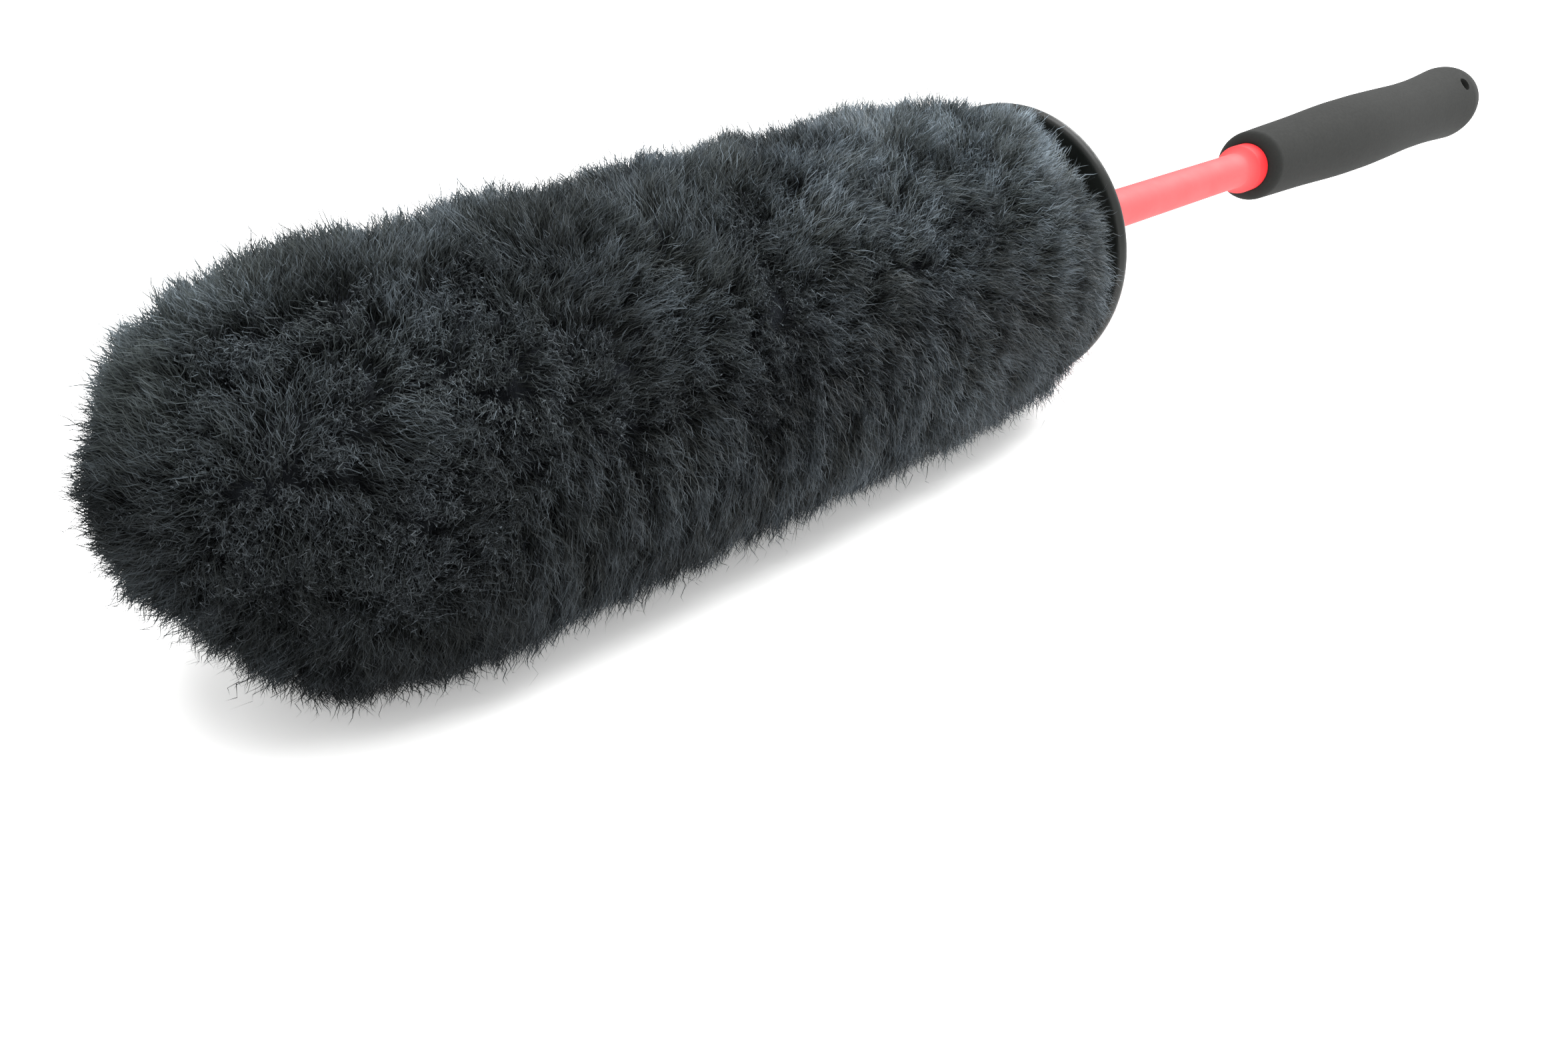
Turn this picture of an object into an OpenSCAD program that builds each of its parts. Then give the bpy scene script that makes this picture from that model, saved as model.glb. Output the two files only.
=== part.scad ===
// Wool wheel brush: a plush wool head on a rigid core, a guard disc,
// a slim handle shaft and a foam grip with a hanging hole.
// Millimetres. The brush lies on a surface with its axis along X:
// the head's tip points to -X and the grip's butt to +X. +Z is up and the
// origin is under the middle of the brush, on the surface it lies on.

/* [Layout] */
// Overall length from the wool tip to the grip's butt
brush_len = 512; // [480:1:560]
// Distance from the middle of the brush back to the middle of the guard disc
guard_back = 56; // [40:1:80]
// Height of the shaft's axis above the surface the wool rests on
axis_h = 34.5; // [34:0.5:36]

/* [Wool head] */
// Radius of the wool pile next to the guard disc
pile_r_base = 36.2; // [35.8:0.1:38]
// Radius of the wool pile where the rounded tip begins
pile_r_tip = 34.8; // [34.5:0.1:36.5]
// How far the soft pile hangs below the shaft's axis under its own weight
pile_sag = 1.5; // [0:0.1:2.5]
// Length of the rounded tip
tip_len = 36.5; // [30:0.5:42]
// Squareness of the rounded tip, 2 is an ellipse
tip_power = 2.2; // [2:0.1:3]

/* [Guard disc] */
// Outer radius of the guard disc
guard_r = 32; // [30:0.5:33]
// Thickness of the guard disc, which is also its rim's diameter
guard_t = 3; // [2.6:0.1:4]
// Radius of the raised boss on the disc's head side
guard_boss_r = 12; // [11:0.5:14]
// Height of that boss
guard_boss_h = 2.5; // [2:0.1:4]

/* [Shaft] */
// Diameter of the exposed shaft
shaft_d = 10; // [9:0.1:10.6]
// Diameter of the spine inside the head
spine_d = 7; // [6.6:0.1:7.6]
// Radius of the flange that backs the guard disc
flange_r = 9; // [7.5:0.5:11]
// Radius of the stepped collar in front of the grip
collar_r = 6.9; // [6.4:0.1:7.2]
// Length of the collar that shows in front of the grip
collar_show = 7; // [6:0.5:14]
// Radius of the hollow inside the grip core
hollow_r = 4.5; // [4:0.1:4.8]

/* [Foam grip] */
// Length of the foam grip
grip_len = 185; // [170:1:196]
// Radius of the grip at its front
grip_r_front = 10.1; // [9.4:0.1:10.8]
// Radius of the grip at its mid swell
grip_r_swell = 12.4; // [11.4:0.1:13.4]
// Radius of the grip at its waist
grip_r_waist = 11.7; // [11:0.1:12.4]
// Radius of the butt bulb
grip_r_bulb = 13.3; // [12.5:0.1:14.4]
// Distance from the grip's front to the swell
swell_at = 84; // [70:1:90]
// Distance from the grip's front to the waist
waist_at = 126; // [112:1:130]
// Distance from the grip's front to the widest place of the bulb
bulb_at = 164; // [152:1:167]
// Radius of the rounded front edge
grip_round = 2.6; // [1:0.1:3]

/* [Hanging hole] */
// Radius of the cross hole through the butt
hang_r = 2.5; // [2:0.1:3]
// Distance from the butt's end to the hole's axis
hang_in = 25.5; // [22:0.5:30]
// Turn of the hole about the shaft, from the horizontal
hang_turn = 43; // [0:1:90]

/* [Head core] */
// Outer radius of the core tube
core_r = 8; // [7.6:0.1:8.4]
// Thickness of the hide backing
hide_t = 1.5; // [1.2:0.1:1.6]
// Thread radius of the seams
thread_r = 0.3; // [0.25:0.05:0.35]
// Number of stitches in the sleeve's long seam
sleeve_stitches = 30; // [20:1:36]
// Number of stitches round the tip patch
tip_stitches = 14; // [10:1:18]
// Cord radius of the neck binding
cord_r = 0.6; // [0.5:0.05:0.7]
// Number of turns of the neck binding
cord_turns = 4; // [3:1:5]

/* [Hidden] */
$fn = 96;

x_tip   = -brush_len / 2;             // wool tip
x_butt  = brush_len / 2;              // grip's butt
x_guard = -guard_back;                // middle of the guard disc
x_gf    = x_guard - guard_t / 2;      // guard disc, head side
x_gb    = x_guard + guard_t / 2;      // guard disc, handle side
x_boss  = x_gf - guard_boss_h;        // end of the guard's boss
x_wash  = x_boss - 1;                 // head side of the core washer
x_core  = x_tip + 27;                 // tip end of the core tube
x_cap   = x_core - 7;                 // front of the tip cap
x_spine = x_core + 4;                 // end of the spine
x_grip  = x_butt - grip_len;          // front of the foam
x_hang  = x_butt - hang_in;           // hanging hole
x_coreend = x_butt - 9;               // end of the grip core
shaft_r = shaft_d / 2;
spine_r = spine_d / 2;
fit     = 0.05;                       // radial gap of a close fit
hide_r  = core_r + fit + hide_t;      // outside of the hide sleeve
root_r  = hide_r + 0.85;              // inside of the wool solids
pile_z  = axis_h - pile_sag;          // height of the pile's own axis
x_split = x_tip + tip_len - 1;        // plane between side wool and tip wool
x_wool  = x_gf - 0.4;                 // wool's end beside the guard disc

// Places children, drawn round Z, round the shaft's axis, with Z along X
module along(h = axis_h) { translate([0, 0, h]) rotate([0, 90, 0]) children(); }

// A tube or rod between two stations on the axis
module ring(x0, x1, ro, ri = 0) {
    along() translate([0, 0, x0]) difference() {
        cylinder(r = ro, h = x1 - x0);
        if (ri > 0) translate([0, 0, -1]) cylinder(r = ri, h = x1 - x0 + 2);
    }
}

// The hanging hole's bore, drawn long enough to pass through everything
module hang_bore(r = hang_r) {
    translate([x_hang, 0, axis_h]) rotate([90 - hang_turn, 0, 0])
        translate([0, 0, -30]) cylinder(r = r, h = 60);
}

function mix(a, b, s) = a + (b - a) * (1 - cos(180 * s)) / 2;
// Radius of the grip at distance s from its front
function grip_r(s) =
    s < swell_at ? mix(grip_r_front, grip_r_swell, s / swell_at)
    : s < waist_at ? mix(grip_r_swell, grip_r_waist, (s - swell_at) / (waist_at - swell_at))
    : s < bulb_at ? mix(grip_r_waist, grip_r_bulb, (s - waist_at) / (bulb_at - waist_at))
    : grip_r_bulb * sqrt(max(0, 1 - pow((s - bulb_at) / (grip_len - bulb_at), 2)));

// Foam grip: revolved outline with a rounded front edge and a closed butt
module foam_grip() {
    body = [for (i = [1:1:44]) let (s = grip_round + (bulb_at - grip_round) * i / 44) [grip_r(s), s]];
    butt = [for (i = [1:1:17]) let (a = 90 * i / 18)
            [grip_r_bulb * cos(a), bulb_at + (grip_len - bulb_at) * sin(a)]];
    edge = [for (a = [0:15:90]) [grip_r_front - grip_round * (1 - sin(a)), grip_round * (1 - cos(a))]];
    color([0.16, 0.165, 0.165]) difference() {
        along() translate([0, 0, x_grip]) difference() {
            rotate_extrude() polygon(concat([[0, 0]], edge, body, butt, [[0, grip_len]]));
            translate([0, 0, -1]) cylinder(r = collar_r + fit, h = x_coreend - x_grip + 1.3);
        }
        hang_bore();
    }
}

// Red handle: spine, flange, exposed shaft, stepped collar and hollow grip core
module handle_shaft() {
    xc = x_grip - collar_show;
    color([0.86, 0.06, 0.1]) difference() {
        along() union() {
            difference() {
                rotate_extrude() polygon([
                    [0, x_spine], [spine_r - 0.6, x_spine], [spine_r, x_spine + 0.6],
                    [spine_r, x_gb], [flange_r - 0.5, x_gb], [flange_r, x_gb + 0.5],
                    [flange_r, x_gb + 2], [flange_r - 0.5, x_gb + 2.5],
                    [shaft_r + 2.2, x_gb + 3.2], [shaft_r + 0.9, x_gb + 5],
                    [shaft_r + 0.25, x_gb + 8], [shaft_r, x_gb + 12],
                    [shaft_r, xc - 1.5],
                    for (i = [1:1:9]) [shaft_r + (collar_r - shaft_r) * (1 - cos(20 * i)) / 2, xc - 1.5 + i / 3],
                    [collar_r, x_coreend - 1], [collar_r - 1, x_coreend], [0, x_coreend]]);
                // hollow of the grip core, open at the butt end
                translate([0, 0, x_grip + 24]) cylinder(r = hollow_r, h = x_coreend - x_grip);
                // pilot hole for the tip screw
                translate([0, 0, x_spine - 1]) cylinder(r = 1.45, h = 15);
            }
        }
        hang_bore();
        // hole for the core's cross pin
        translate([x_wash - 14, 0, axis_h - 20]) cylinder(r = 1.3, h = 40);
    }
}

// Plug that closes the grip core, cross-drilled with the hanging hole
module shaft_plug() {
    color([0.1, 0.1, 0.1]) difference() {
        ring(x_hang - 14, x_coreend - 0.4, hollow_r - fit);
        hang_bore();
    }
}

// Guard disc with a full-round rim, and a boss that centres the head
module guard_disc() {
    color([0.07, 0.075, 0.075]) along() difference() {
        union() {
            translate([0, 0, x_gf]) cylinder(r = guard_r - guard_t / 2, h = guard_t);
            translate([0, 0, x_guard]) rotate_extrude()
                translate([guard_r - guard_t / 2, 0]) circle(d = guard_t, $fn = 48);
            translate([0, 0, x_boss]) cylinder(r = guard_boss_r, h = guard_boss_h + 1);
        }
        translate([0, 0, x_boss - 1]) cylinder(r = spine_r + fit, h = guard_t + guard_boss_h + 2);
    }
}

module core_washer() { color([0.75, 0.75, 0.72]) ring(x_wash, x_boss, core_r + 1, spine_r + fit); }

// Rigid tube that carries the pelt
module core_tube() {
    color([0.85, 0.84, 0.8]) difference() {
        ring(x_core, x_wash, core_r, spine_r + fit);
        translate([x_wash - 14, 0, axis_h - 20]) cylinder(r = 1.3, h = 40);
    }
}

// Cross pin through core tube and spine
module core_pin() {
    color([0.7, 0.7, 0.72]) translate([x_wash - 14, 0, axis_h - core_r + 0.3])
        cylinder(r = 1.3 - 0.02, h = 2 * core_r - 0.6);
}

// Rounded cap on the end of the core, with a recess for the screw head
module tip_cap() {
    color([0.1, 0.1, 0.1]) along() difference() {
        rotate_extrude() polygon(concat(
            [[0, x_core], [core_r, x_core]],
            [for (a = [0:10:80]) [core_r - 5.5 * (1 - cos(a)), x_core - 1.5 - 5.5 * sin(a)]],
            [[0, x_cap]]));
        translate([0, 0, x_cap - 1]) cylinder(r = 3.8, h = 3.6);
        translate([0, 0, x_cap - 1]) cylinder(r = 1.8, h = 12);
    }
}

module tip_washer() { color([0.7, 0.7, 0.72]) ring(x_cap + 2, x_cap + 2.6, 3.6, 1.8); }

// Pan-head screw into the end of the spine
module tip_screw() {
    color([0.72, 0.72, 0.74]) along() difference() {
        union() {
            translate([0, 0, x_cap + 2]) cylinder(r = 1.42, h = x_spine - x_cap + 10);
            rotate_extrude() polygon([[0, x_cap + 2], [3, x_cap + 2], [3, x_cap + 1.2],
                                      [2.5, x_cap + 0.5], [1.6, x_cap + 0.2], [0, x_cap + 0.2]]);
        }
        for (a = [0, 90]) rotate([0, 0, a]) translate([-1.6, -0.3, x_cap - 1]) cube([3.2, 0.6, 2]);
    }
}

// Hide sleeve on the core
module hide_sleeve() { color([0.62, 0.55, 0.47]) ring(x_core - 1, x_wash - 0.5, hide_r, core_r + fit); }

// Hide patch that closes the sleeve, domed over the tip cap
module hide_tip() {
    n = 9;
    color([0.62, 0.55, 0.47]) along() rotate_extrude() polygon(concat(
        [for (i = [0:1:n]) let (a = 90 * i / n) [hide_r * cos(a), x_core - 1.1 - (8.2) * sin(a)]],
        [for (i = [0:1:n]) let (a = 90 - 90 * i / n)
            [(hide_r - 1.3) * cos(a), x_core - 1.1 - (6.9) * sin(a)]]));
}

// One stitch: a short bar with round ends, lying on the hide along the axis
module stitch(l) {
    rotate([0, 90, 0]) translate([0, 0, -l / 2]) cylinder(r = thread_r, h = l, $fn = 16);
}

// Stitches of the sleeve's long seam, under the head
module sleeve_seam() {
    x0 = x_core + 3; x1 = x_wash - 7;
    step = (x1 - x0) / sleeve_stitches;
    color([0.2, 0.2, 0.22]) for (i = [0:1:sleeve_stitches - 1])
        translate([x0 + step * (i + 0.5), 0, axis_h - hide_r - thread_r - 0.05])
            stitch(step * 0.62);
}

// Stitches that join the tip patch to the sleeve
module tip_seam() {
    color([0.2, 0.2, 0.22]) for (i = [0:1:tip_stitches - 1])
        along() rotate([0, 0, 360 * (i + 0.5) / tip_stitches])
            translate([hide_r + thread_r + 0.03, 0, x_core - 1])
                translate([0, 0, -1.6]) cylinder(r = thread_r, h = 3.2, $fn = 16);
}

// Bound cord that ties the sleeve to the core beside the guard
module neck_binding() {
    color([0.12, 0.12, 0.13]) along() rotate_extrude() union() {
        for (i = [0:1:cord_turns - 1])
            translate([hide_r + cord_r - 0.02 + 0.05, x_wash - 2.2 - i * cord_r * 1.7])
                circle(r = cord_r, $fn = 24);
    }
}

// Radius of the pile at station x
function pile_r(x) = pile_r_base + (pile_r_tip - pile_r_base)
                     * (x_wool - x) / (x_wool - (x_tip + tip_len));

// Half outline of the whole pile, from the guard to the tip
function pile_points() = let (
        r0 = pile_r(x_wool), rt = pile_r_tip, xs = x_tip + tip_len, n = 22)
    concat(
        [[0, x_wool], [r0 - 9.8, x_wool], [r0 - 7.0, x_wool - 1.8], [r0 - 4.4, x_wool - 5.2],
         [r0 - 2.5, x_wool - 10], [r0 - 1.0, x_wool - 18], [pile_r(x_wool - 30), x_wool - 30]],
        [for (i = [0:1:n - 1]) let (a = 90 * i / n)
            [rt * pow(cos(a), 2 / tip_power), xs - tip_len * pow(sin(a), 2 / tip_power)]],
        [[0, x_tip]]);

// The pile as one body: revolved, then flat where it rests on the surface
module pile_body() {
    difference() {
        along(pile_z) rotate_extrude() polygon(pile_points());
        translate([x_tip - 10, -60, -20]) cube([brush_len, 120, 20]);
    }
}

// Side wool: everything behind the split plane, round the hide sleeve
module wool_side() {
    color([0.13, 0.145, 0.165]) difference() {
        pile_body();
        translate([x_tip - 20, -60, -5]) cube([x_split - x_tip + 20, 120, 100]);
        along() translate([0, 0, x_tip - 10]) cylinder(r = root_r, h = 300);
        // room for the guard's boss, the washer and the neck binding
        along() translate([0, 0, x_wash - 4 - cord_turns * cord_r * 1.7])
            cylinder(r = guard_boss_r + 0.3, h = 60);
    }
}

// Tip wool: the rounded end in front of the split plane
module wool_tip() {
    color([0.13, 0.145, 0.165]) difference() {
        intersection() {
            pile_body();
            translate([x_tip - 20, -60, -5]) cube([x_split - x_tip + 20, 120, 100]);
        }
        // socket over the capped end of the core
        along() rotate_extrude() polygon([
            [0, x_split + 5], [root_r, x_split + 5], [root_r, x_core - 3],
            [root_r - 2, x_core - 8.4], [root_r - 6, x_core - 10.2], [0, x_core - 10.6]]);
    }
}

handle_shaft();
shaft_plug();
foam_grip();
guard_disc();
core_washer();
core_tube();
core_pin();
tip_cap();
tip_washer();
tip_screw();
hide_sleeve();
hide_tip();
sleeve_seam();
tip_seam();
neck_binding();
wool_side();
wool_tip();
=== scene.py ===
import math
import bpy
import numpy as np
from mathutils import Matrix, Vector


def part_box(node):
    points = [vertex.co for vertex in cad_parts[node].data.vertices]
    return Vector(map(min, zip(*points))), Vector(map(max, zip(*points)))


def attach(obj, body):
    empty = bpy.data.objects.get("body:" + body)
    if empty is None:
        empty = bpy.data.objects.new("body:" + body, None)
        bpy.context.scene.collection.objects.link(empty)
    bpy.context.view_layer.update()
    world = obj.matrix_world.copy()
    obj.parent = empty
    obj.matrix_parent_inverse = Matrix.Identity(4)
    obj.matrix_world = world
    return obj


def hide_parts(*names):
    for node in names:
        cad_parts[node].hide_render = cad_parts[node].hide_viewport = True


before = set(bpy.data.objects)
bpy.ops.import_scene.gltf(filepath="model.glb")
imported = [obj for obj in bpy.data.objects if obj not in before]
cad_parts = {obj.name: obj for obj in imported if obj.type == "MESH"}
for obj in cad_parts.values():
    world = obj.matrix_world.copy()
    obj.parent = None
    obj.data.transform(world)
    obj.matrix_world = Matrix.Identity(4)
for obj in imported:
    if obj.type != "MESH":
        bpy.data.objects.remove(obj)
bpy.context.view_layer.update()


# ------------------------------------------------------------------ materials


def new_mat(name):
    m = bpy.data.materials.new(name)
    m.use_nodes = True
    nt = m.node_tree
    nt.nodes.clear()
    out = nt.nodes.new("ShaderNodeOutputMaterial")
    bsdf = nt.nodes.new("ShaderNodeBsdfPrincipled")
    nt.links.new(bsdf.outputs["BSDF"], out.inputs["Surface"])
    return m, nt, bsdf


def coords(nt, scale=(1, 1, 1)):
    tc = nt.nodes.new("ShaderNodeTexCoord")
    mp = nt.nodes.new("ShaderNodeMapping")
    mp.inputs["Scale"].default_value = scale
    nt.links.new(tc.outputs["Object"], mp.inputs["Vector"])
    return mp.outputs["Vector"]


def noise(nt, vec, scale, detail=4.0, rough=0.55, distortion=0.0):
    n = nt.nodes.new("ShaderNodeTexNoise")
    n.inputs["Scale"].default_value = scale
    n.inputs["Detail"].default_value = detail
    n.inputs["Roughness"].default_value = rough
    n.inputs["Distortion"].default_value = distortion
    nt.links.new(vec, n.inputs["Vector"])
    return n.outputs["Fac"]


def ramp(nt, fac, stops):
    r = nt.nodes.new("ShaderNodeValToRGB")
    while len(r.color_ramp.elements) < len(stops):
        r.color_ramp.elements.new(0.5)
    for e, (p, c) in zip(r.color_ramp.elements, stops):
        e.position = p
        e.color = (c[0], c[1], c[2], 1) if len(c) > 1 else (c[0], c[0], c[0], 1)
    nt.links.new(fac, r.inputs["Fac"])
    return r.outputs["Color"]


def spread(nt, fac, lo, hi):
    r = nt.nodes.new("ShaderNodeMapRange")
    r.inputs["From Min"].default_value = 0.25
    r.inputs["From Max"].default_value = 0.75
    r.inputs["To Min"].default_value = lo
    r.inputs["To Max"].default_value = hi
    nt.links.new(fac, r.inputs["Value"])
    return r.outputs["Result"]


def bump(nt, height, distance, strength=1.0, normal=None):
    b = nt.nodes.new("ShaderNodeBump")
    b.inputs["Distance"].default_value = distance
    b.inputs["Strength"].default_value = strength
    nt.links.new(height, b.inputs["Height"])
    if normal is not None:
        nt.links.new(normal, b.inputs["Normal"])
    return b.outputs["Normal"]


def finish_mat(name, dark, light, scale, rough, bump_mm, bump_scale, metallic=0.0, stretch=(1, 1, 1),
               coat=0.0, sheen=0.0, sheen_tint=(1, 1, 1), spec=0.5, detail=4.0):
    """A finish: mottled colour, uneven roughness and a fine relief."""
    m, nt, b = new_mat(name)
    v = coords(nt, stretch)
    col = ramp(nt, noise(nt, v, scale, detail), [(0.3, dark), (0.7, light)])
    nt.links.new(col, b.inputs["Base Color"])
    nt.links.new(spread(nt, noise(nt, v, scale * 2.3, 3.0), rough[0], rough[1]), b.inputs["Roughness"])
    h = noise(nt, v, bump_scale, 3.0)
    nt.links.new(bump(nt, h, bump_mm / 1000.0), b.inputs["Normal"])
    b.inputs["Metallic"].default_value = metallic
    b.inputs["Specular IOR Level"].default_value = spec
    b.inputs["Coat Weight"].default_value = coat
    b.inputs["Coat Roughness"].default_value = 0.12
    b.inputs["Sheen Weight"].default_value = sheen
    b.inputs["Sheen Roughness"].default_value = 0.5
    b.inputs["Sheen Tint"].default_value = (sheen_tint[0], sheen_tint[1], sheen_tint[2], 1)
    return m


def paint(node, mat):
    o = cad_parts[node]
    if not o.material_slots:
        o.data.materials.append(mat)
    for s in o.material_slots:
        s.material = mat


red = finish_mat("red_moulding", (0.80, 0.070, 0.074), (0.87, 0.088, 0.092), 60, (0.60, 0.72), 0.03, 900, spec=0.30)
rn = red.node_tree
rb = rn.nodes["Principled BSDF"]
# painted shade: where it runs in under the foam the collar is painted a deeper red, for the foam's shadow on it
rx = rn.nodes.new("ShaderNodeSeparateXYZ")
rn.links.new(coords(rn), rx.inputs[0])
rr_ = rn.nodes.new("ShaderNodeMapRange")
rr_.interpolation_type = "SMOOTHSTEP"
rr_.inputs["From Min"].default_value = 0.0630
rr_.inputs["From Max"].default_value = 0.0665
rn.links.new(rx.outputs["X"], rr_.inputs["Value"])
collar_shade_mix = rn.nodes.new("ShaderNodeMix")
collar_shade_mix.data_type = "RGBA"
rn.links.new(rr_.outputs["Result"], collar_shade_mix.inputs["Factor"])
rn.links.new(rb.inputs["Base Color"].links[0].from_socket, collar_shade_mix.inputs["A"])
collar_shade_mix.inputs["B"].default_value = (0.66, 0.013, 0.018, 1)
rn.links.new(collar_shade_mix.outputs["Result"], rb.inputs["Base Color"])
paint("handle_shaft", red)
paint("guard_disc", finish_mat("guard_moulding", (0.0070, 0.0082, 0.0072), (0.0115, 0.0130, 0.0118), 90, (0.32, 0.44),
                               0.03, 1400, spec=0.36))
paint("shaft_plug", finish_mat("plug_moulding", (0.010, 0.010, 0.010), (0.018, 0.018, 0.018), 120, (0.5, 0.65), 0.05, 1500))
paint("core_washer", finish_mat("washer_moulding", (0.52, 0.50, 0.44), (0.62, 0.60, 0.54), 120, (0.4, 0.55), 0.04, 1200))
paint("core_tube", finish_mat("core_moulding", (0.50, 0.48, 0.42), (0.62, 0.60, 0.54), 50, (0.4, 0.6), 0.05, 700, stretch=(0.15, 1, 1)))
paint("core_pin", finish_mat("pin_steel", (0.46, 0.46, 0.48), (0.60, 0.60, 0.62), 200, (0.25, 0.4), 0.02, 2500, metallic=1.0))
paint("tip_cap", finish_mat("cap_moulding", (0.012, 0.012, 0.013), (0.022, 0.022, 0.024), 150, (0.45, 0.6), 0.05, 1600))
paint("tip_washer", finish_mat("washer_steel", (0.48, 0.48, 0.50), (0.62, 0.62, 0.64), 300, (0.25, 0.4), 0.02, 2500, metallic=1.0))
paint("tip_screw", finish_mat("screw_steel", (0.46, 0.46, 0.47), (0.62, 0.62, 0.64), 300, (0.22, 0.4), 0.02, 2500, metallic=1.0))
hide = finish_mat("hide_suede", (0.17, 0.135, 0.10), (0.27, 0.22, 0.17), 90, (0.75, 0.95), 0.25, 600, sheen=0.3)
paint("hide_sleeve", hide)
paint("hide_tip", hide)
thread = finish_mat("waxed_thread", (0.012, 0.012, 0.014), (0.03, 0.03, 0.034), 900, (0.5, 0.7), 0.12, 3000, stretch=(0.3, 1, 1))
paint("sleeve_seam", thread)
paint("tip_seam", thread)
paint("neck_binding", thread)

# ------------------------------------------------------------------ helpers


def mesh_object(name, verts, faces, mat, smooth=True, closed=False):
    """faces: an (n, 3) or (n, 4) integer array, wound consistently. A closed mesh is turned to face outwards."""
    verts = np.asarray(verts, float)
    if closed:
        va, vb, vc = verts[faces[:, 0]], verts[faces[:, 1]], verts[faces[:, 2]]
        if np.sum(va * np.cross(vb, vc)) < 0:
            faces = faces[:, ::-1].copy()
    me = bpy.data.meshes.new(name)
    k = faces.shape[1]
    me.vertices.add(len(verts))
    me.vertices.foreach_set("co", np.asarray(verts, np.float32).ravel())
    me.loops.add(len(faces) * k)
    me.loops.foreach_set("vertex_index", np.asarray(faces, np.int32).ravel())
    me.polygons.add(len(faces))
    me.polygons.foreach_set("loop_start", np.arange(0, len(faces) * k, k, dtype=np.int32))
    me.polygons.foreach_set("loop_total", np.full(len(faces), k, np.int32))
    me.polygons.foreach_set("use_smooth", np.full(len(faces), smooth, bool))
    me.update(calc_edges=True)
    me.materials.append(mat)
    o = bpy.data.objects.new(name, me)
    bpy.context.scene.collection.objects.link(o)
    return o


def waves(p, seed, length, n=9):
    """Smooth noise about -1 to 1 at points p in mm, with features about `length` mm long."""
    r = np.random.default_rng(seed)
    out = np.zeros(len(p))
    for _ in range(n):
        d = r.normal(size=3)
        d /= np.linalg.norm(d)
        k = 2 * math.pi / (length * r.uniform(0.7, 1.5))
        out += np.sin(p @ (d * k) + r.uniform(0, 2 * math.pi))
    return out / math.sqrt(n)


def unit(v):
    return v / np.maximum(np.linalg.norm(v, axis=-1, keepdims=True), 1e-9)


# ------------------------------------------------------------------ wool pile
# The pile's outside as a profile about its own, slightly sagging axis, in mm.
AXIS_Z = 34.5
PILE_Z = 33.0
TIP_X, DOME_X, DOME_R = -258.7, -217.0, 34.0
knots_x = np.array([-58.4, -59.6, -61.8, -65.0, -70.0, -78.0, -90.0, -120.0, -152.0, -184.0, -206.0, -217.0])
knots_r = np.array([25.4, 27.6, 30.0, 32.0, 34.0, 35.8, 36.6, 36.6, 35.8, 34.8, 34.2, 34.0])
sx = np.arange(-58.4, DOME_X, -0.5)
sr = np.interp(-sx, -knots_x, knots_r)
a = np.linspace(0, math.pi / 2, 120)
dx = DOME_X + (TIP_X - DOME_X) * np.sin(a) ** (2 / 2.04)
dr = DOME_R * np.cos(a) ** (2 / 2.04)
px = np.concatenate([sx, dx])
pr = np.concatenate([sr, np.maximum(dr, 0)])
arc = np.concatenate([[0], np.cumsum(np.hypot(np.diff(px), np.diff(pr)))])


def pile_z(x):
    """The pile's own axis sags under its weight, less towards the short fibres of the tip."""
    k = np.clip((-208.0 - x) / 46.0, 0, 1)
    return PILE_Z + 0.9 * k * k * (3 - 2 * k)


def surface(s, phi):
    """Outside point, normal, tangent along the profile and tangent round it."""
    x = np.interp(s, arc, px)
    r = np.interp(s, arc, pr)
    e = 0.6
    tx = np.interp(np.minimum(s + e, arc[-1]), arc, px) - np.interp(np.maximum(s - e, 0), arc, px)
    tr = np.interp(np.minimum(s + e, arc[-1]), arc, pr) - np.interp(np.maximum(s - e, 0), arc, pr)
    n = np.hypot(tx, tr)
    tx, tr = tx / n, tr / n
    c, si = np.cos(phi), np.sin(phi)
    # the rounded end leans forward at the top, where the surface under it doesn't press it back
    k = np.clip((-212.0 - x) / 34.0, 0, 1)
    low = np.clip(-si, 0, 1) * np.clip((x + 262.0) / 20.0, 0, 1)
    # flattened and spread by its weight under the free end, lifted off towards the guard
    r = r + low * np.interp(x, [-250.0, -240.0, -225.0, -210.0, -180.0, -165.0, -150.0, -80.0, -64.0],
                            [1.4, 1.6, 1.3, 0.4, -0.9, -1.7, -2.3, -2.3, -0.5])
    foot = np.clip((-si - 0.55) / 0.45, 0, 1)
    r = r + foot * np.interp(x, [-256.0, -249.0, -240.0, -226.0], [0.0, 3.2, 2.4, 0.0])
    cheek = np.exp(-((si + 0.42) / 0.3) ** 2)
    r = r - cheek * np.interp(x, [-258.0, -250.0, -235.0, -220.0], [0.0, 1.8, 1.5, 0.0])
    # the end's upper shoulder is rounder
    r = r - np.clip((si - 0.4) / 0.5, 0, 1) * np.interp(x, [-258.7, -254.0, -246.0, -236.0, -226.0, -216.0],
                                                        [0.0, 0.7, 1.25, 1.0, 0.3, 0.0])
    shear = np.where(si > 0, 0.13, 0.19)
    p = np.stack([x - shear * r * si * k, r * c, pile_z(x) + r * si], 1)
    nor = np.stack([tr, -tx * c, -tx * si], 1)
    t1 = np.stack([tx, tr * c, tr * si], 1)
    t2 = np.stack([np.zeros_like(c), -si, c], 1)
    return p, nor, t1, t2


def scatter(step, seed, s0=0.0, s1=None):
    r = np.random.default_rng(seed)
    s1 = arc[-1] if s1 is None else s1
    ss, pp = [], []
    for s in np.arange(s0 + step * 0.5, s1, step * 0.9):
        rad = np.interp(s, arc, pr)
        n = max(3, int(round(2 * math.pi * rad / step)))
        ph = (np.arange(n) + r.uniform(-0.42, 0.42, n)) / n * 2 * math.pi + r.uniform(0, 6.28)
        ss.append(np.clip(s + r.uniform(-0.42, 0.42, n) * step, 0.01, arc[-1] - 0.01))
        pp.append(ph)
    return np.concatenate(ss), np.concatenate(pp)


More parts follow.
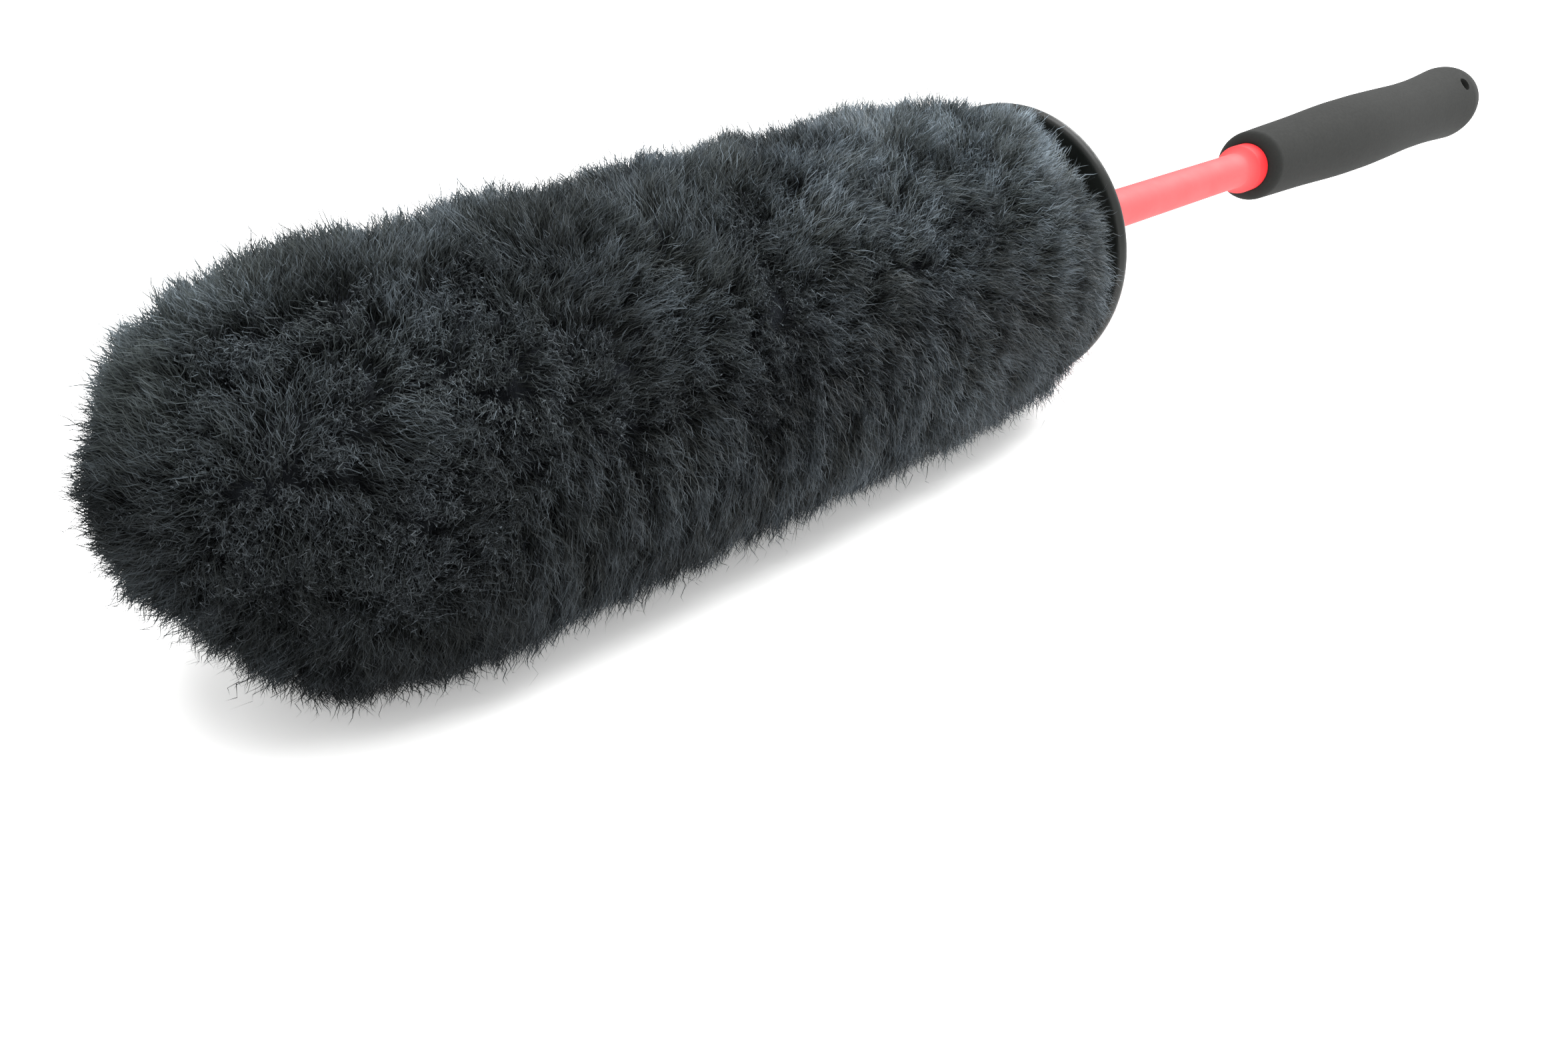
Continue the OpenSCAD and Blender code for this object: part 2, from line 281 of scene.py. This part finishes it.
LOCK_STEP = 2.6
PER_LOCK = 41
ls, lp = scatter(LOCK_STEP, 11)
P, N, T1, T2 = surface(ls, lp)
cs, cp = scatter(8.5, 23)
CP = surface(cs, cp)[0]

# nearest larger cluster of each lock
near = np.empty(len(P), int)
dist = np.empty(len(P))
for i in range(0, len(P), 500):
    d = np.linalg.norm(P[i:i + 500, None, :] - CP[None], axis=2)
    near[i:i + 500] = d.argmin(1)
    dist[i:i + 500] = d.min(1)

rng = np.random.default_rng(5)
up = N[:, 2]
guard_side = np.clip((P[:, 0] + 92.0) / 30.0, 0, 1)            # 1 beside the guard
on_side = np.clip((P[:, 0] + 226.0) / 16.0, 0, 1)              # 0 on the dome
# direction of growth, out from the core
core = np.stack([np.clip(P[:, 0], -237.0, -68.0), np.zeros(len(P)), np.full(len(P), AXIS_Z)], 1)
grow = unit(unit(P - core) * 0.65 + N * 0.35)
# locks that run round the head, as if it had been turned in the hand
RIDGE = 7.0
warp = ls * (2 * math.pi / RIDGE) + 2.4 * waves(P, 71, 26) + 0.7 * waves(P, 72, 9)
combed = on_side * np.clip(0.70 - 0.95 * up, 0.12, 1.15)
# height of each lock's point
height = 0.75 * waves(P, 31, 22) + 0.4 * waves(P, 32, 9) + rng.normal(0, 0.16, len(P))
height -= 0.8 * np.clip(dist / 5.2, 0, 1) ** 2
height += np.where(rng.random(len(P)) < 0.10, rng.uniform(0.3, 1.1, len(P)), 0)
height += 1.25 - 0.6 * guard_side
# sideways lean of each lock's point
lean = (T1 * (1.0 * waves(P, 41, 26) + 0.8 * waves(P, 42, 10))[:, None] * (1 - 0.45 * combed)[:, None]
        + T2 * (1.0 * waves(P, 43, 26) + 0.8 * waves(P, 44, 10))[:, None])
lean += (CP[near] - P) * (0.24 - 0.10 * combed)[:, None]
side = np.sqrt(np.clip(1 - up * up, 0, 1))
lean[:, 2] -= (0.5 + 5.0 * np.clip(0.52 - 0.85 * up, 0, 1)) * side * on_side
# the rounded end is ruffled: patches of locks lean together in different directions
ruffle = 1 - on_side
lean += T1 * (ruffle * (1.9 * waves(P, 45, 17) + 0.9))[:, None] + T2 * (ruffle * 1.9 * waves(P, 46, 17))[:, None]
# tufts along the top tilt this way and that
tuft = np.clip(up * 1.3, 0, 1) * on_side
lean += T1 * (tuft * 1.9 * waves(P, 47, 13))[:, None] + T2 * (tuft * 1.9 * waves(P, 48, 13))[:, None]
height += 0.85 * tuft * waves(P, 49, 13)
# a sweep of locks towards the guard at mid height
sweep = np.exp(-((P[:, 0] + 98) / 20) ** 2) * np.exp(-((up + 0.05) / 0.42) ** 2)
lean -= T1 * (3.0 * sweep)[:, None]
lean -= T1 * (1.5 * guard_side)[:, None]
# below the middle the locks hang back towards the free end
hang = np.clip(0.52 - 0.85 * up, 0, 1) * on_side * np.clip((-105.0 - P[:, 0]) / 30.0, 0, 1)
lean += T1 * (4.2 * hang)[:, None]
lean += rng.normal(0, 0.35, lean.shape)
lean -= grow * np.sum(lean * grow, 1, keepdims=True)
tip = P + grow * height[:, None] + lean
shade = np.clip(rng.normal(0, 1, len(P)) * 0.45 + 0.75 * waves(P, 51, 18), -2, 2)

VS = np.array([0.0, 0.24, 0.42, 0.57, 0.70, 0.81, 0.91, 1.0])
WIDE = np.array([0.085, 0.085, 0.08, 0.074, 0.066, 0.056, 0.042])
RINGS = len(WIDE)
FACES = 2 * (RINGS - 1) + 1
NV = 2 * RINGS + 1


def strands(idx, per, seed):
    """Vertices, triangles and a fibre vector (along, tone, chance) for these locks' crimped, tapering fibres."""
    r = np.random.default_rng(seed)
    k = len(idx) * per
    j = np.repeat(idx, per)
    g, t1, t2 = grow[j], T1[j], T2[j]
    q = np.sqrt(r.random(k))
    th = r.random(k) * 2 * math.pi
    off = t1 * (q * np.cos(th))[:, None] + t2 * (q * np.sin(th))[:, None]
    root = P[j] - g * (7.4 + r.uniform(-0.8, 0.8, k))[:, None] + off * 1.8
    short = 0.25 * q ** 2 + r.gamma(1.5, 0.62, k)
    end = tip[j] + off * (0.75 + 0.9 * r.random(k))[:, None] - g * short[:, None]
    # combed ridges: fibres lie over towards the nearest ridge and stand highest on it
    phase = warp[j] + 1.8 * q * np.cos(th) * (2 * math.pi / RIDGE)
    comb = combed[j]
    end += t1 * (1.75 * comb * np.cos(phase))[:, None] + g * (1.15 * comb * np.sin(phase))[:, None]
    fine = 2.1 * phase + 1.7
    end += t1 * (0.6 * comb * np.cos(fine))[:, None] + g * (0.45 * comb * np.sin(fine))[:, None]
    end += r.normal(0, 0.82, (k, 3)) * (np.where(r.random(k) < 0.3, 1.7, 0.8) * (1 + 0.15 * np.clip(0.3 - up[j], 0, 1)))[:, None]
    stray = r.random(k) < 0.03 - 0.015 * np.clip(-up[j], 0, 1)
    end[stray] += r.normal(0, 0.8, (stray.sum(), 3)) + g[stray] * 0.5
    wa = unit(np.cross(g, r.normal(size=(k, 3))))
    wb = np.cross(g, wa)
    amp = r.uniform(0.16, 0.42, k) * (1 + 0.7 * np.clip(0.4 - up[j], 0, 1))
    length = np.linalg.norm(end - root, axis=1)
    turn = 2 * math.pi * length / r.uniform(2.4, 4.4, k)
    ph = r.random(k) * 6.28
    twist = r.uniform(-2.5, 2.5, k)
    scale = r.uniform(0.75, 1.25, k)
    line = end - root
    sidew = line - g * np.sum(line * g, 1, keepdims=True)
    pts = []
    for v in VS:
        env = amp * (0.35 + 1.05 * v) * min(1.0, 4 * v)
        b = root + line * v + sidew * (v ** 1.7 - v)
        b += wa * (env * np.sin(ph + turn * v))[:, None] + wb * (env * 0.8 * np.cos(ph * 1.7 + turn * 0.87 * v))[:, None]
        pts.append(b)
    # wool is pressed flat by the surface under it and by the guard behind it
    lift = r.random(k) * 0.9
    back = r.random(k) * 0.8
    for n in range(len(VS)):
        b = pts[n]
        lim = 0.25 + lift * (1 - 0.4 * VS[n])
        under = b[:, 2] < lim
        press = np.where(under, lim - b[:, 2], 0)
        b[:, 1] += np.sign(b[:, 1]) * press * 0.35
        b[:, 2] = np.where(under, lim, b[:, 2])
        gl = -58.0 - back
        rr = np.hypot(b[:, 1], b[:, 2] - AXIS_Z)
        hit = (b[:, 0] > gl) & (rr < 33.5)
        b[:, 0] = np.where(hit, gl, b[:, 0])
    verts = np.empty((k, NV, 3))
    for n in range(RINGS):
        ax = unit(pts[n + 1] - pts[n])
        u = unit(np.cross(ax, wa + 0.01))
        w = np.cross(ax, u)
        an = twist * VS[n]
        e = (u * np.cos(an)[:, None] + w * np.sin(an)[:, None]) * (WIDE[n] * scale)[:, None]
        verts[:, n * 2] = pts[n] - e
        verts[:, n * 2 + 1] = pts[n] + e
    verts[:, NV - 1] = pts[-1]
    verts[..., 2] = np.maximum(verts[..., 2], 0.12)
    tri = []
    for n in range(RINGS - 1):
        a0, a1, b0, b1 = n * 2, n * 2 + 1, n * 2 + 2, n * 2 + 3
        tri += [(a0, a1, b1), (a0, b1, b0)]
    tri.append((NV - 3, NV - 2, NV - 1))
    tri = np.array(tri)
    faces = (tri[None] + (np.arange(k) * NV)[:, None, None]).reshape(-1, 3)
    fibre = np.empty((k, NV, 3), np.float32)
    fibre[:, :, 0] = np.append(np.repeat(VS[:-1], 2), 1.0)[None]
    # the tone is darker in the valleys between the combed ridges and lighter on them: painted shade
    fibre[:, :, 1] = (shade[j] + comb * (1.5 * np.sin(phase) + 0.9 * np.sin(fine)))[:, None]
    fibre[:, :, 2] = r.random(k)[:, None]
    return verts.reshape(-1, 3) / 1000.0, faces, fibre.reshape(-1, 3)


def scaled(nt, col, by):
    mul = nt.nodes.new("ShaderNodeVectorMath")
    mul.operation = "SCALE"
    nt.links.new(col, mul.inputs[0])
    nt.links.new(by, mul.inputs["Scale"])
    return mul.outputs["Vector"]


def wool_mat(name, even, bleach, rough, spec):
    """Wool fibre: near black deep in the pile, a painted shade in the gaps, paler and bluer at the tips; paler beside
    the guard, partly paler fibre and partly painted light.
    """
    m, nt, b = new_mat(name)
    tc = nt.nodes.new("ShaderNodeTexCoord")
    sep = nt.nodes.new("ShaderNodeSeparateXYZ")
    nt.links.new(tc.outputs["Object"], sep.inputs[0])
    at = nt.nodes.new("ShaderNodeAttribute")
    at.attribute_name = "fibre"
    fs = nt.nodes.new("ShaderNodeSeparateXYZ")
    nt.links.new(at.outputs["Vector"], fs.inputs[0])

    def math_node(op, x, y=None, clamp=False):
        n = nt.nodes.new("ShaderNodeMath")
        n.operation = op
        n.use_clamp = clamp
        for i, v in enumerate((x, y)):
            if v is None:
                continue
            if isinstance(v, (int, float)):
                n.inputs[i].default_value = v
            else:
                nt.links.new(v, n.inputs[i])
        return n.outputs[0]
    patch = noise(nt, tc.outputs["Object"], 62, 3.0)
    fac = math_node("ADD", fs.outputs["X"], math_node("MULTIPLY", math_node("SUBTRACT", patch, 0.5), 0.42))
    fac = math_node("ADD", fac, math_node("MULTIPLY", fs.outputs["Y"], 0.055))
    fac = math_node("ADD", fac, math_node("MULTIPLY", math_node("SUBTRACT", fs.outputs["Z"], 0.5), 0.10))
    # one fibre in fourteen is bleached, less so underneath
    damp = nt.nodes.new("ShaderNodeMapRange")
    damp.inputs["From Min"].default_value = 0.008
    damp.inputs["From Max"].default_value = 0.044
    damp.inputs["To Min"].default_value = 0.3
    damp.inputs["To Max"].default_value = 1.0
    nt.links.new(sep.outputs["Z"], damp.inputs["Value"])
    pick = math_node("MULTIPLY", math_node("GREATER_THAN", fs.outputs["Z"], 0.93), bleach)
    fac = math_node("ADD", fac, math_node("MULTIPLY", pick, damp.outputs["Result"]), True)
    # the ramp runs from near black at the root, a painted shade deep in the pile, to paler, bluer tips
    stops = [(0.0, (0.0060, 0.0070, 0.0063)), (0.52, (0.0098, 0.0116, 0.0106)),
             (0.74, (0.0200, 0.0238, 0.0231)), (0.9, (0.041, 0.0488, 0.0530)),
             (1.0, (0.088, 0.107, 0.123))]
    mean = (0.0130, 0.0154, 0.0149)
    col = ramp(nt, fac, [(q, tuple(v * (1 - even) + w * even for v, w in zip(c, mean))) for q, c in stops])
    # paler towards the guard: partly paler fibre, partly painted light where the light falls on the shoulder beside the
    # guard
    pale = nt.nodes.new("ShaderNodeMapRange")
    pale.inputs["From Min"].default_value = -0.136
    pale.inputs["From Max"].default_value = -0.060
    pale.inputs["To Min"].default_value = 1.0
    pale.inputs["To Max"].default_value = 1.74
    nt.links.new(sep.outputs["X"], pale.inputs["Value"])
    # the top and the shoulder beside the guard are lighter where the light falls on them from above: painted light,
    # partly also bleached, drier fibre
    top = nt.nodes.new("ShaderNodeMapRange")
    top.inputs["From Min"].default_value = 0.040
    top.inputs["From Max"].default_value = 0.066
    top.inputs["To Min"].default_value = 1.0
    top.inputs["To Max"].default_value = 2.2
    nt.links.new(sep.outputs["Z"], top.inputs["Value"])
    # darker underneath: painted shade, partly also less faded fibre
    low = nt.nodes.new("ShaderNodeMapRange")
    low.inputs["From Min"].default_value = 0.006
    low.inputs["From Max"].default_value = 0.056
    low.inputs["To Min"].default_value = 0.66
    low.inputs["To Max"].default_value = 1.0
    nt.links.new(sep.outputs["Z"], low.inputs["Value"])
    # broad mottling where the fleece was more or less dyed
    mottle = nt.nodes.new("ShaderNodeMapRange")
    mottle.inputs["From Min"].default_value = 0.36
    mottle.inputs["From Max"].default_value = 0.64
    mottle.inputs["To Min"].default_value = 0.62
    mottle.inputs["To Max"].default_value = 1.25
    nt.links.new(noise(nt, tc.outputs["Object"], 34, 2.0), mottle.inputs["Value"])
    # the crown of the free end is lighter: partly dust, partly painted light where the light falls on it from above
    end = nt.nodes.new("ShaderNodeMapRange")
    end.inputs["From Min"].default_value = -0.212
    end.inputs["From Max"].default_value = -0.240
    nt.links.new(sep.outputs["X"], end.inputs["Value"])
    crown = nt.nodes.new("ShaderNodeMapRange")
    crown.inputs["From Min"].default_value = 0.042
    crown.inputs["From Max"].default_value = 0.058
    nt.links.new(sep.outputs["Z"], crown.inputs["Value"])
    dust_and_top_light = math_node("MULTIPLY", end.outputs["Result"], crown.outputs["Result"])
    dust_and_top_light = math_node("ADD", math_node("MULTIPLY", dust_and_top_light, 0.6), 1.0)
    col = scaled(nt, col, dust_and_top_light)
    lit = math_node("MULTIPLY", math_node("MULTIPLY", pale.outputs["Result"], top.outputs["Result"]),
                    math_node("MULTIPLY", mottle.outputs["Result"], low.outputs["Result"]))
    nt.links.new(scaled(nt, col, lit), b.inputs["Base Color"])
    b.inputs["Roughness"].default_value = rough
    b.inputs["Specular IOR Level"].default_value = spec
    b.inputs["Sheen Weight"].default_value = 0.15
    b.inputs["Sheen Roughness"].default_value = 0.4
    b.inputs["Sheen Tint"].default_value = (0.78, 0.89, 1.0, 1)
    return m



# Bands along the head, each small enough to export whole.
order = np.argsort(ls)
limit = 190000 // FACES // PER_LOCK
bands = [order[i:i + limit] for i in range(0, len(order), limit)]
pieces = []
for n, idx in enumerate(bands):
    v, f, fib = strands(idx, PER_LOCK, 900 + n)
    t = float(np.clip((P[idx, 0].mean() + 250.0) / 120.0, 0, 1))    # 0 on the worn, dusty end, 1 by the guard
    wool = wool_mat("wool_fibre_%02d" % n, 0.55 * (1 - t), 0.05 + 0.21 * t, 0.76 - 0.2 * t, 0.16 + 0.22 * t)
    o = mesh_object("wool_band_%02d" % n, v, f, wool)
    att = o.data.attributes.new("fibre", "FLOAT_VECTOR", "POINT")
    att.data.foreach_set("vector", fib.ravel())
    pieces.append(o)
print("locks", len(P), "pieces", len(pieces), "tris", sum(len(o.data.polygons) for o in pieces))

# Dense under-wool: a closed, lumpy shell between the hide and the strands.
rows = np.linspace(0, arc[-1] - 0.001, 260)
cols = np.linspace(0, 2 * math.pi, 300, endpoint=False)
S, F = np.meshgrid(rows, cols, indexing="ij")
up_, un, _, _ = surface(S.ravel(), F.ravel())
depth = 5.6 - 0.9 * waves(up_, 31, 22) - 0.4 * waves(up_, 61, 5)
q = up_ - un * depth[:, None]
q[:, 0] = np.minimum(q[:, 0], -58.6)
q[:, 2] = np.maximum(q[:, 2], 0.9)
outer = q.reshape(260, 300, 3)
pole = outer[-1].mean(0)
inner_x = np.concatenate([np.full(1, -58.6), np.linspace(-70.0, -236.0, 40), [-241.5, -244.0]])
inner_r = np.concatenate([[14.0], np.full(1, 14.0), np.full(39, 11.2), [8.0, 3.0]])
inn = np.stack([np.repeat(inner_x, 300).reshape(-1, 300),
                inner_r[:, None] * np.cos(cols)[None], AXIS_Z + inner_r[:, None] * np.sin(cols)[None]], 2)
verts = np.concatenate([outer.reshape(-1, 3), inn.reshape(-1, 3), [pole], [[-244.3, 0, AXIS_Z]]]) / 1000.0
no, ni = 260, len(inner_x)
quads = []
c0 = np.arange(300)
c1 = (c0 + 1) % 300
for i in range(no - 1):
    quads.append(np.stack([i * 300 + c0, (i + 1) * 300 + c0, (i + 1) * 300 + c1, i * 300 + c1], 1))
base = no * 300
for i in range(ni - 1):
    quads.append(np.stack([base + i * 300 + c0, base + i * 300 + c1, base + (i + 1) * 300 + c1, base + (i + 1) * 300 + c0], 1))
quads.append(np.stack([c0, c1, base + c1, base + c0], 1))
quads = np.concatenate(quads)
tris = np.concatenate([quads[:, [0, 1, 2]], quads[:, [0, 2, 3]],
                       np.stack([(no - 1) * 300 + c0, np.full(300, len(verts) - 2), (no - 1) * 300 + c1], 1),
                       np.stack([base + (ni - 1) * 300 + c1, np.full(300, len(verts) - 1), base + (ni - 1) * 300 + c0], 1)])
under = mesh_object("wool_under", verts, tris[:, ::-1].copy(),
                    finish_mat("under_wool", (0.008, 0.009, 0.010), (0.022, 0.026, 0.032), 140, (0.85, 1.0), 0.9, 700,
                               sheen=0.2, sheen_tint=(0.75, 0.85, 1.0), spec=0.15), closed=True)
pieces.append(under)
for o in pieces:
    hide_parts("wool_side", "wool_tip")
    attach(o, "root")

# ------------------------------------------------------------------ foam grip
g0, g1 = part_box("foam_grip")
GX0, GX1 = g0[0] * 1000, g1[0] * 1000
gk_x = np.array([0, 8, 22.4, 41.6, 64, 84.2, 103.4, 122.6, 138.6, 151.4, 161, 164.5])
gk_r = np.array([10.0, 10.3, 10.75, 11.35, 12.1, 12.4, 12.1, 11.72, 11.8, 12.4, 13.1, 13.3])
st = np.arange(3.2, 164.5, 0.6)
# smooth the knots
kr = np.interp(st, gk_x, gk_r)
ker = np.hanning(31)
ker /= ker.sum()
kr = np.convolve(np.pad(kr, 15, mode="edge"), ker, mode="valid")
aa = np.linspace(0, math.pi / 2, 48)[1:]
edge = np.linspace(0, math.pi / 2, 9)
ro = 3.6
prof = [(6.97, 3.0), (6.97, 0.6), (7.05, 0.0), (7.25, -0.3)]
prof += [(kr[0] - ro + ro * math.sin(e), ro - 0.4 - ro * math.cos(e)) for e in edge]
prof += [(r, s) for r, s in zip(kr[1:], st[1:])]
prof += [(13.3 * math.cos(e), 164.5 + (GX1 - GX0 - 164.5) * math.sin(e)) for e in aa[:-1]]
prof = np.array(prof)
# closing cavity, behind the core's end
cav = np.array([(6.97, GX1 - GX0 - 8.2), (6.97, 3.0)])
n_r = 288
an = np.linspace(0, 2 * math.pi, n_r, endpoint=False)
rr = prof[:, 0]
ss = prof[:, 1]
gx = np.repeat(GX0 + ss, n_r).reshape(len(prof), n_r)
gy = rr[:, None] * np.cos(an)[None]
gz = rr[:, None] * np.sin(an)[None]
pts = np.stack([gx, gy, gz], 2).reshape(-1, 3)
grain = 0.06 * waves(pts, 83, 42, 9)
rad_dir = unit(pts * np.array([0, 1, 1]))
keep = np.clip((np.repeat(ss, n_r) - 1.0) / 4, 0, 1)
pts = pts + rad_dir * (grain * keep)[:, None]
# the butt bulb sits a little high on the core
u = np.clip((np.repeat(ss, n_r) - 120) / 50, 0, 1)
pts[:, 2] += AXIS_Z + 0.45 * u * u * (3 - 2 * u)
apex = np.array([[GX1, 0, AXIS_Z]])
cv = np.stack([np.repeat(GX0 + cav[:1, 1], n_r), 6.97 * np.cos(an), AXIS_Z + 6.97 * np.sin(an)], 1)
cend = np.array([[GX0 + cav[0, 1], 0, AXIS_Z]])
allv = np.concatenate([pts, apex, cv, cend])
fq = []
for i in range(len(prof) - 1):
    fq.append(np.stack([i * n_r + np.arange(n_r), i * n_r + (np.arange(n_r) + 1) % n_r,
                        (i + 1) * n_r + (np.arange(n_r) + 1) % n_r, (i + 1) * n_r + np.arange(n_r)], 1))
fq = np.concatenate(fq)
nb = len(pts)
k0 = np.arange(n_r)
k1 = (k0 + 1) % n_r
ft = [fq[:, [0, 1, 2]], fq[:, [0, 2, 3]],
      np.stack([(len(prof) - 1) * n_r + k0, (len(prof) - 1) * n_r + k1, np.full(n_r, nb)], 1),
      np.stack([k1, k0, nb + 1 + k0], 1), np.stack([k1, nb + 1 + k0, nb + 1 + k1], 1),
      np.stack([nb + 1 + k1, nb + 1 + k0, np.full(n_r, nb + 1 + n_r)], 1)]
foam_tris = np.concatenate(ft)[:, ::-1].copy()


def foam_mat():
    m, nt, b = new_mat("grip_foam")
    tc = nt.nodes.new("ShaderNodeTexCoord")
    o = tc.outputs["Object"]
    col = ramp(nt, noise(nt, o, 1700, 3.0, 0.6), [(0.3, (0.0146, 0.0154, 0.0145)), (0.72, (0.0178, 0.0188, 0.0177))])
    # scuffed, dustier patches from handling
    wear = ramp(nt, noise(nt, o, 38, 2.0, 0.5), [(0.40, (0, 0, 0)), (0.75, (1, 1, 1))])
    mix = nt.nodes.new("ShaderNodeMix")
    mix.data_type = "RGBA"
    mul = nt.nodes.new("ShaderNodeMath")
    mul.operation = "MULTIPLY"
    nt.links.new(wear, mul.inputs[0])
    mul.inputs[1].default_value = 0.25
    nt.links.new(mul.outputs[0], mix.inputs["Factor"])
    nt.links.new(col, mix.inputs["A"])
    mix.inputs["B"].default_value = (0.0262, 0.0274, 0.0260, 1)
    nt.links.new(mix.outputs["Result"], b.inputs["Base Color"])
    nt.links.new(spread(nt, noise(nt, o, 900, 2.0), 0.84, 0.94), b.inputs["Roughness"])
    vor = nt.nodes.new("ShaderNodeTexVoronoi")
    vor.inputs["Scale"].default_value = 1500
    nt.links.new(o, vor.inputs["Vector"])
    n1 = bump(nt, vor.outputs["Distance"], 0.00002, 0.06)
    n2 = bump(nt, noise(nt, o, 1500, 2.0), 0.00002, 0.10, n1)
    nt.links.new(n2, b.inputs["Normal"])
    b.inputs["Specular IOR Level"].default_value = 0.15
    b.inputs["Sheen Weight"].default_value = 0.02
    b.inputs["Sheen Roughness"].default_value = 0.5
    return m


foam_material = foam_mat()
foam = mesh_object("grip_skin", allv / 1000.0, foam_tris, foam_material, closed=True)
# cut the hanging hole through the foam
hc = Vector((0.2305, 0, AXIS_Z / 1000))
hd = Vector((0, -math.cos(math.radians(43)), math.sin(math.radians(43))))
bpy.ops.mesh.primitive_cylinder_add(vertices=48, radius=0.0025, depth=0.04, location=hc)
cut = bpy.context.object
cut.rotation_mode = "QUATERNION"
cut.rotation_quaternion = Vector((0, 0, 1)).rotation_difference(hd)
mod = foam.modifiers.new("hole", "BOOLEAN")
mod.operation = "DIFFERENCE"
mod.solver = "EXACT"
mod.object = cut
bpy.context.view_layer.update()
dg = bpy.context.evaluated_depsgraph_get()
done = bpy.data.meshes.new_from_object(foam.evaluated_get(dg))
print("foam", len(foam.data.vertices), len(done.vertices))
foam.modifiers.clear()
foam.data = done
bpy.data.objects.remove(cut, do_unlink=True)
foam.data.materials.clear()
foam.data.materials.append(foam_material)
foam.data.polygons.foreach_set("material_index", np.zeros(len(foam.data.polygons), np.int32))
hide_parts("foam_grip")
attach(foam, "root")

# ------------------------------------------------------------------ stage
bpy.ops.mesh.primitive_plane_add(size=8, location=(0, 0, -0.0003))
floor = bpy.context.object
floor.name = "table"
fm, fnt, fb = new_mat("table_top")
fb.inputs["Base Color"].default_value = (0.93, 0.93, 0.925, 1)
fb.inputs["Roughness"].default_value = 0.75
fb.inputs["Specular IOR Level"].default_value = 0.2
fb.inputs["Emission Color"].default_value = (1.0, 1.0, 0.995, 1)
fb.inputs["Emission Strength"].default_value = 0.30
floor.data.materials.append(fm)

scene = bpy.context.scene
scene.view_settings.view_transform = "Standard"
scene.view_settings.look = "None"
world = bpy.data.worlds.new("studio")
scene.world = world
world.use_nodes = True
bg = world.node_tree.nodes["Background"]
bg.inputs["Color"].default_value = (1.0, 1.0, 1.0, 1)
bg.inputs["Strength"].default_value = 1.0


def area(name, loc, target, size, power, color=(1, 1, 1)):
    li = bpy.data.lights.new(name, "AREA")
    li.shape = "SQUARE"
    li.size = size
    li.energy = power
    li.color = color
    o = bpy.data.objects.new(name, li)
    scene.collection.objects.link(o)
    o.location = loc
    o.rotation_mode = "QUATERNION"
    o.rotation_quaternion = (Vector(target) - Vector(loc)).to_track_quat("-Z", "Y")
    return o


area("window", (2.5, -0.25, 1.95), (-0.05, 0, 0.03), 1.9, 88)
area("ceiling", (-0.15, -0.5, 2.8), (-0.05, 0, 0.03), 2.2, 94)

cam_data = bpy.data.cameras.new("camera")
cam = bpy.data.objects.new("camera", cam_data)
scene.collection.objects.link(cam)
right = Vector((0.6876, -0.7261, 0.0)).normalized()
look = Vector((0.6465, 0.6122, -0.4552)).normalized()
upv = right.cross(look)
rot = Matrix((right, upv, -look)).transposed()
cam.matrix_world = Matrix.Translation((-0.3012, -0.1617, 0.1097)) @ rot.to_4x4()
cam_data.lens = 28.62
cam_data.sensor_width = 36
cam_data.sensor_fit = "HORIZONTAL"
cam_data.clip_start = 0.01
cam_data.clip_end = 20
cam_data.dof.use_dof = False
scene.camera = cam
